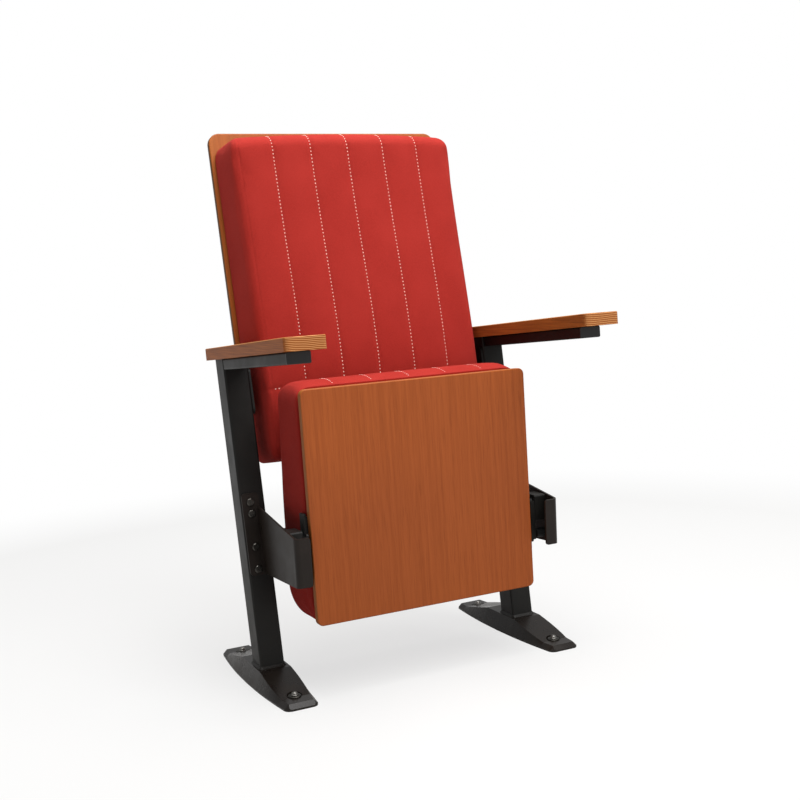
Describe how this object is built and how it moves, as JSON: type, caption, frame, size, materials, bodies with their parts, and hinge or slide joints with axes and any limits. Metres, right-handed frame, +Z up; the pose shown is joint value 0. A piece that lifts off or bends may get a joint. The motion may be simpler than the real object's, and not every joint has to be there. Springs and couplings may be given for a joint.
{
  "type": "tip-up auditorium seat",
  "caption": "Tip-up auditorium seat: padded seat on pivot brackets between two raked legs, sewn back cushion on a plywood shell, timber armrests.",
  "frame": {"origin": "on the floor, at the middle of the four anchor holes", "axes": "+X across the seat towards the viewer's right as they face it, -Y to the front of the seat, +Z up"},
  "size_m": [0.632, 0.5301, 1.0208],
  "materials": {
    "arm_timber": "clear satin lacquer on laminated beech",
    "birch_ply": "raw plywood",
    "black_oxide_steel": "black zinc plate",
    "black_plastic": "moulded black plastic",
    "black_powder": "satin black powder coat on steel",
    "black_rubber": "moulded rubber",
    "ground_steel": "ground steel",
    "nylon": "natural nylon",
    "panel_veneer": "clear satin lacquer over stained beech veneer",
    "red_wool": "woven wool cover over moulded foam",
    "shell_veneer": "clear satin lacquer over beech veneer",
    "spring_steel": "oiled spring steel",
    "zinc_steel": "bright zinc plate"
  },
  "bodies": {
    "stand": {"anchor_washers": "zinc_steel", "arm_rail_left": "black_powder", "arm_rail_right": "black_powder", "armrest_left": "arm_timber", "armrest_right": "arm_timber", "armrest_screws": "black_oxide_steel", "back_board": "birch_ply", "back_bracket_bolts": "black_oxide_steel", "back_bracket_left": "black_powder", "back_bracket_nuts": "zinc_steel", "back_bracket_right": "black_powder", "back_cushion": "red_wool", "back_shell": "shell_veneer", "back_tee_nuts": "zinc_steel", "bracket_bolts": "black_oxide_steel", "bracket_nuts": "zinc_steel", "down_stop_left": "black_rubber", "down_stop_right": "black_rubber", "foot_left": "black_powder", "foot_right": "black_powder", "leg_tube_left": "black_powder", "leg_tube_right": "black_powder", "leg_welds": "black_powder", "pivot_block_left": "black_powder", "pivot_block_right": "black_powder", "pivot_bush_left": "nylon", "pivot_bush_right": "nylon", "rail_cap_left": "black_plastic", "rail_cap_right": "black_plastic", "return_spring_left": "spring_steel", "return_spring_right": "spring_steel", "seat_bracket_left": "black_powder", "seat_bracket_right": "black_powder", "shell_bolts": "black_oxide_steel", "up_stop_left": "black_rubber", "up_stop_right": "black_rubber"},
    "seat": {"hinge_plate_left": "black_powder", "hinge_plate_right": "black_powder", "hinge_screws": "zinc_steel", "panel_clips": "nylon", "pivot_pin_left": "ground_steel", "pivot_pin_right": "ground_steel", "seat_board": "birch_ply", "seat_cushion": "red_wool", "seat_panel": "panel_veneer", "stop_pin_left": "ground_steel", "stop_pin_right": "ground_steel"}
  },
  "joints": [
    {"name": "seat_tip", "type": "hinge", "parent": "stand", "child": "seat", "pos_m": [0, -0.13, 0.275], "axis": [1, 0, 0], "range_deg": [0, 86], "stiffness_Nm_per_rad": 4, "springref_deg": -11.46}
  ]
}
